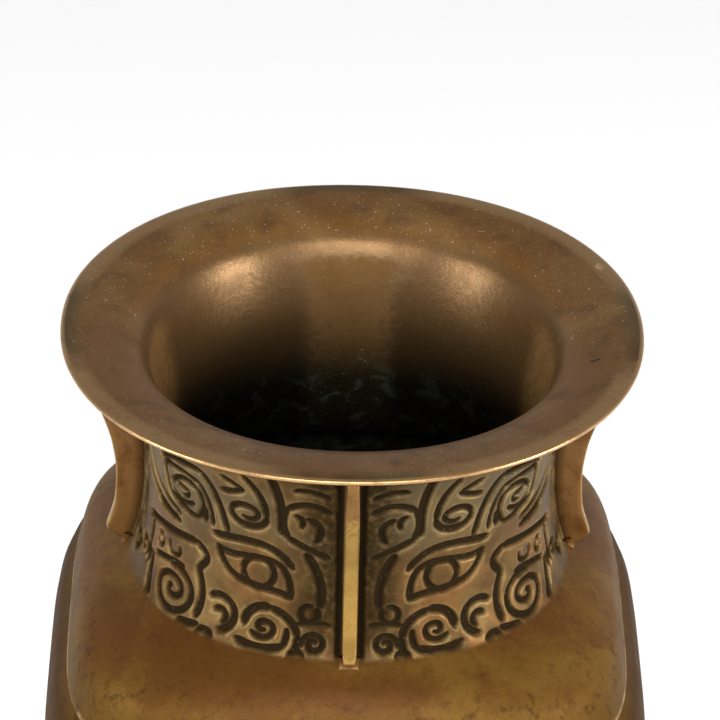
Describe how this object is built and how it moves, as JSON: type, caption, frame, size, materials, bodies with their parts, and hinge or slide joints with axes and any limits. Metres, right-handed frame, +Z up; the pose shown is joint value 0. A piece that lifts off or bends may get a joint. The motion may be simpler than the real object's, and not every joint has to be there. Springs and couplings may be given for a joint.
{
  "type": "vase",
  "caption": "Cast brass vase with a flared round mouth, a neck carved with a beast-mask band between upright flanges, and a rounded-square body on a flared foot.",
  "frame": {"origin": "centre of the underside of the foot", "axes": "+Z up through the mouth; -Y toward the front, one flange on each of -Y, +X, +Y and -X"},
  "size_m": [0.17, 0.17, 0.29],
  "materials": {
    "brass": "old cast brass, brown patina, worn bright on the flange edges and the rim"
  },
  "bodies": {
    "root": {"vase": "brass"}
  },
  "joints": []
}
